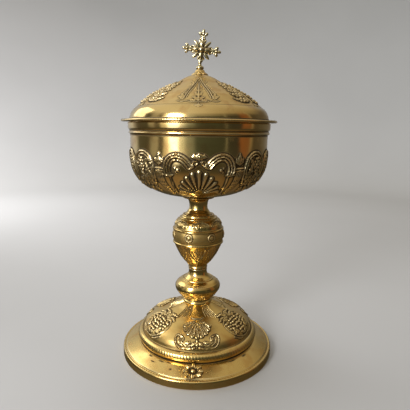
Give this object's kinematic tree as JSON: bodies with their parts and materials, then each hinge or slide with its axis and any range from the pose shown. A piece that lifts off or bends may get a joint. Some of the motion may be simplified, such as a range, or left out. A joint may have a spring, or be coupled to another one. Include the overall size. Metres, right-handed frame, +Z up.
{
  "type": "covered ciborium",
  "caption": "Gilt metal ciborium: chased round foot, knopped stem, hollow cup and a domed lid that lifts off, topped by a small cross.",
  "frame": {"origin": "centre of the foot's underside, on the surface it stands on", "axes": "+Z up along the stem, the front with the rosette faces -Y, the cross spreads along X"},
  "size_m": [0.1452, 0.1452, 0.2998],
  "materials": {
    "gilt": "polished gilding over chased metal, brown in the recesses",
    "worn_gilt": "worn gilding, paler on the crests, brown in the recesses",
    "pale_gilt": "pale worn gilding"
  },
  "bodies": {
    "root": {"foot": "gilt", "foot_rosette": "gilt", "lower_knop": "gilt", "knop": "gilt", "upper_neck": "gilt", "cup": "worn_gilt", "lid": "worn_gilt", "cross_finial": "pale_gilt"}
  },
  "joints": []
}
